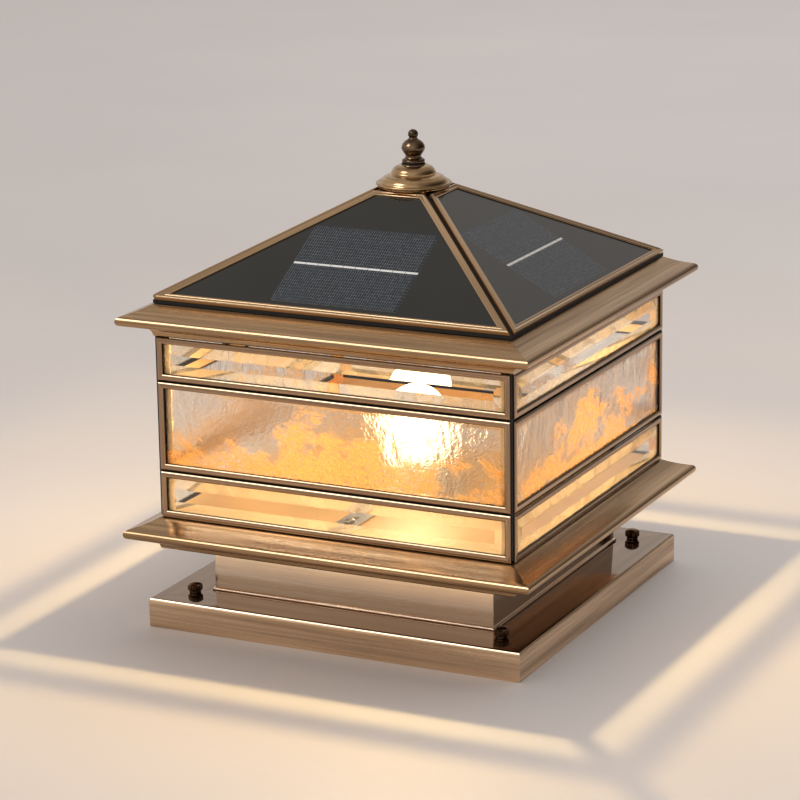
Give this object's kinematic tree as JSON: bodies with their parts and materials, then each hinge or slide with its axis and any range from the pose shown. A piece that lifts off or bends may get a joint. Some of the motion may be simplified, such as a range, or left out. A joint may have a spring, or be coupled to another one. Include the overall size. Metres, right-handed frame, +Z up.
{
  "type": "outdoor post light",
  "caption": "Square brass post light: pan base with thumb nuts, recessed neck, glazed lamp room between moulded cornices, lift-off hipped roof with solar panels and an urn finial.",
  "frame": {"origin": "centre of the base, on the plane of its underside", "axes": "+Z up through the finial; -Y is the wide side seen at the left of the picture, +X the side at its right"},
  "size_m": [0.3, 0.3, 0.3304],
  "materials": {
    "zinc_steel": "zinc plated",
    "nickel_steel": "nickel plated",
    "aged_brass": "brushed, antiqued brown and lacquered",
    "bright_brass": "polished",
    "spun_brass": "spun, satin",
    "dark_bronze": "dark bronze patina, half gloss",
    "porcelain": "glazed ceramic",
    "bulb_glass": "clear warm glass",
    "filament": "glowing filament",
    "black_sheet": "satin black paint",
    "battery_sleeve": "shrunk sleeve",
    "black_plastic": "moulded",
    "red_plastic": "moulded",
    "seal_rubber": "matt",
    "ripple_glass": "rippled like water",
    "clear_glass": "bevelled and polished",
    "solar_glass": "dark cells under smooth glass"
  },
  "bodies": {
    "housing": {"mounting_plate": "zinc_steel", "mounting_studs": "zinc_steel", "base_pan": "aged_brass", "neck_box": "dark_bronze", "lower_cornice": "aged_brass", "floor_plate": "bright_brass", "lamp_bracket": "zinc_steel", "lamp_holder": "porcelain", "inner_frame": "black_sheet", "frame_front_low": "aged_brass", "frame_front_mid": "aged_brass", "frame_front_high": "aged_brass", "frame_right_low": "aged_brass", "frame_right_mid": "aged_brass", "frame_right_high": "aged_brass", "frame_back_low": "aged_brass", "frame_back_mid": "aged_brass", "frame_back_high": "aged_brass", "frame_left_low": "aged_brass", "frame_left_mid": "aged_brass", "frame_left_high": "aged_brass", "glass_front_low": "clear_glass", "glass_front_mid": "ripple_glass", "glass_front_high": "clear_glass", "glass_right_low": "clear_glass", "glass_right_mid": "ripple_glass", "glass_right_high": "clear_glass", "glass_back_low": "clear_glass", "glass_back_mid": "ripple_glass", "glass_back_high": "clear_glass", "glass_left_low": "clear_glass", "glass_left_mid": "ripple_glass", "glass_left_high": "clear_glass", "upper_cornice": "aged_brass", "bridge_bar": "zinc_steel", "screws": "nickel_steel"},
    "roof": {"roof_shell": "black_sheet", "panel_frame_front": "aged_brass", "panel_frame_right": "aged_brass", "panel_frame_back": "aged_brass", "panel_frame_left": "aged_brass", "solar_panel_front": "solar_glass", "solar_panel_right": "solar_glass", "solar_panel_back": "solar_glass", "solar_panel_left": "solar_glass", "ceiling_plate": "black_sheet", "battery_pack": "battery_sleeve", "controller_box": "black_plastic", "roof_cap": "spun_brass"},
    "seal": {"cap_seal": "seal_rubber"},
    "finial": {"finial": "dark_bronze", "finial_rod": "nickel_steel"},
    "button": {"power_button": "red_plastic"},
    "bulb": {"bulb_cap": "nickel_steel", "bulb_globe": "bulb_glass", "bulb_filament": "filament"},
    "nut_front_left": {"thumb_nut_front_left": "dark_bronze"},
    "nut_front_right": {"thumb_nut_front_right": "dark_bronze"},
    "nut_back_right": {"thumb_nut_back_right": "dark_bronze"},
    "nut_back_left": {"thumb_nut_back_left": "dark_bronze"}
  },
  "joints": [
    {"name": "roof_lift", "type": "slide", "parent": "housing", "child": "roof", "axis": [0, 0, 1], "range_m": [0, 0.13]},
    {"name": "seal_rise", "type": "slide", "parent": "roof", "child": "seal", "axis": [0, 0, 1], "range_m": [0, 0.012]},
    {"name": "finial_turn", "type": "hinge", "parent": "seal", "child": "finial", "pos_m": [0, 0, 0.31], "axis": [0, 0, 1], "range_deg": [0, 4320]},
    {"name": "button_press", "type": "slide", "parent": "roof", "child": "button", "axis": [0, 0, 1], "range_m": [0, 0.0015], "stiffness_N_per_m": 400},
    {"name": "bulb_turn", "type": "hinge", "parent": "housing", "child": "bulb", "pos_m": [0, 0, 0.09], "axis": [0, 0, 1], "continuous": true},
    {"name": "nut_turn_front_left", "type": "hinge", "parent": "housing", "child": "nut_front_left", "pos_m": [-0.115, -0.115, 0.024], "axis": [0, 0, 1], "continuous": true},
    {"name": "nut_turn_front_right", "type": "hinge", "parent": "housing", "child": "nut_front_right", "pos_m": [0.115, -0.115, 0.024], "axis": [0, 0, 1], "continuous": true},
    {"name": "nut_turn_back_right", "type": "hinge", "parent": "housing", "child": "nut_back_right", "pos_m": [0.115, 0.115, 0.024], "axis": [0, 0, 1], "continuous": true},
    {"name": "nut_turn_back_left", "type": "hinge", "parent": "housing", "child": "nut_back_left", "pos_m": [-0.115, 0.115, 0.024], "axis": [0, 0, 1], "continuous": true}
  ],
  "couplings": [
    {"joint": "finial_turn", "follows": "seal_rise", "rad_per_m": 6283.2}
  ]
}
